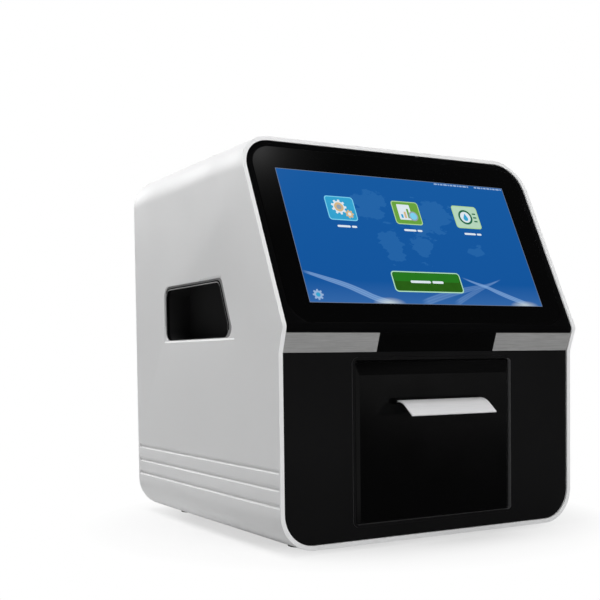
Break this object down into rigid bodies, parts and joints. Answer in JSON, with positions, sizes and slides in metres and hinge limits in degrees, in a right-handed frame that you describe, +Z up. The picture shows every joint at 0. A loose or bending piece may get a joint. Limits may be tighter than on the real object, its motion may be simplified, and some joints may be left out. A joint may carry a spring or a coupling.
{
  "type": "benchtop chemistry analyzer",
  "caption": "Benchtop chemistry analyzer with a leaning touch screen over a pull-out disc drawer, in a rounded sleeve with side grips.",
  "frame": {"origin": "on the table, under the middle of the whole width and depth", "axes": "+X to the right of a person who faces the front, +Y to the rear, +Z up"},
  "size_m": [0.26, 0.2876, 0.293],
  "materials": {
    "case_plastic": "fine satin",
    "black_plastic": "fine satin",
    "gloss_black": "polished",
    "grey_plastic": "satin",
    "display": "lit display",
    "touch_glass": "polished",
    "clear_glass": "polished",
    "brushed_metal": "brushed along its length",
    "lip_metal": "satin",
    "sheet_metal": "rolled",
    "steel": "zinc plated",
    "brass_parts": "turned",
    "ivory_plastic": "moulded",
    "board_green": "solder mask",
    "foot_rubber": "matte",
    "seal_rubber": "foam"
  },
  "bodies": {
    "instrument": {"outer_case": "case_plastic", "rear_panel": "case_plastic", "front_panel": "black_plastic", "front_bezel": "black_plastic", "grip_pocket_left": "black_plastic", "grip_pocket_right": "black_plastic", "optics_block": "black_plastic", "barcode_reader": "black_plastic", "power_inlet": "black_plastic", "power_leads": "black_plastic", "switch_housing": "black_plastic", "fan_frame": "black_plastic", "badge_plate": "gloss_black", "door_frame": "grey_plastic", "drive_motor": "grey_plastic", "lamp_housing": "grey_plastic", "lcd_module": "display", "screen_glass": "touch_glass", "objective_lens": "clear_glass", "lamp_bulb": "clear_glass", "trim_strip_left": "brushed_metal", "trim_strip_right": "brushed_metal", "display_bracket": "sheet_metal", "rail_brackets": "sheet_metal", "chassis_plate": "sheet_metal", "inner_frame": "sheet_metal", "incubator_plate": "sheet_metal", "power_supply": "sheet_metal", "display_screws": "steel", "front_screws": "steel", "board_screws": "steel", "fan_screws": "steel", "foot_screws": "steel", "rear_screws": "steel", "rail_channels": "steel", "incubator_posts": "steel", "detector_post": "steel", "usb_ports": "steel", "lan_port": "steel", "fan_guard": "steel", "board_standoffs": "brass_parts", "display_ribbon": "ivory_plastic", "main_board": "board_green", "detector_board": "board_green", "rubber_feet": "foot_rubber", "light_seal": "seal_rubber"},
    "drawer": {"drawer_front": "gloss_black", "handle_base": "gloss_black", "drawer_handle": "lip_metal", "handle_screws": "steel", "drawer_tray": "grey_plastic", "tray_screws": "steel", "drawer_slides": "steel", "drawer_rack": "ivory_plastic", "spindle_motor": "grey_plastic", "spindle_bearing": "steel"},
    "turntable": {"disc_turntable": "steel"},
    "pinion": {"drive_pinion": "ivory_plastic"},
    "fan_wheel": {"fan_rotor": "black_plastic"},
    "rocker": {"power_rocker": "black_plastic"}
  },
  "joints": [
    {"name": "drawer_slide", "type": "slide", "parent": "instrument", "child": "drawer", "axis": [0, -1, 0], "range_m": [0, 0.12]},
    {"name": "turntable_spin", "type": "hinge", "parent": "drawer", "child": "turntable", "pos_m": [0, -0.04324, 0.054], "axis": [0, 0, 1], "continuous": true},
    {"name": "pinion_turn", "type": "hinge", "parent": "instrument", "child": "pinion", "pos_m": [-0.054, -0.09125, 0.02725], "axis": [1, 0, 0], "range_deg": [0, 860]},
    {"name": "fan_spin", "type": "hinge", "parent": "instrument", "child": "fan_wheel", "pos_m": [0, 0.12876, 0.209], "axis": [0, 1, 0], "continuous": true},
    {"name": "rocker_press", "type": "hinge", "parent": "instrument", "child": "rocker", "pos_m": [-0.022, 0.13825, 0.037], "axis": [1, 0, 0], "range_deg": [-16, 0]}
  ],
  "couplings": [
    {"joint": "pinion_turn", "follows": "drawer_slide", "rad_per_m": 125}
  ]
}
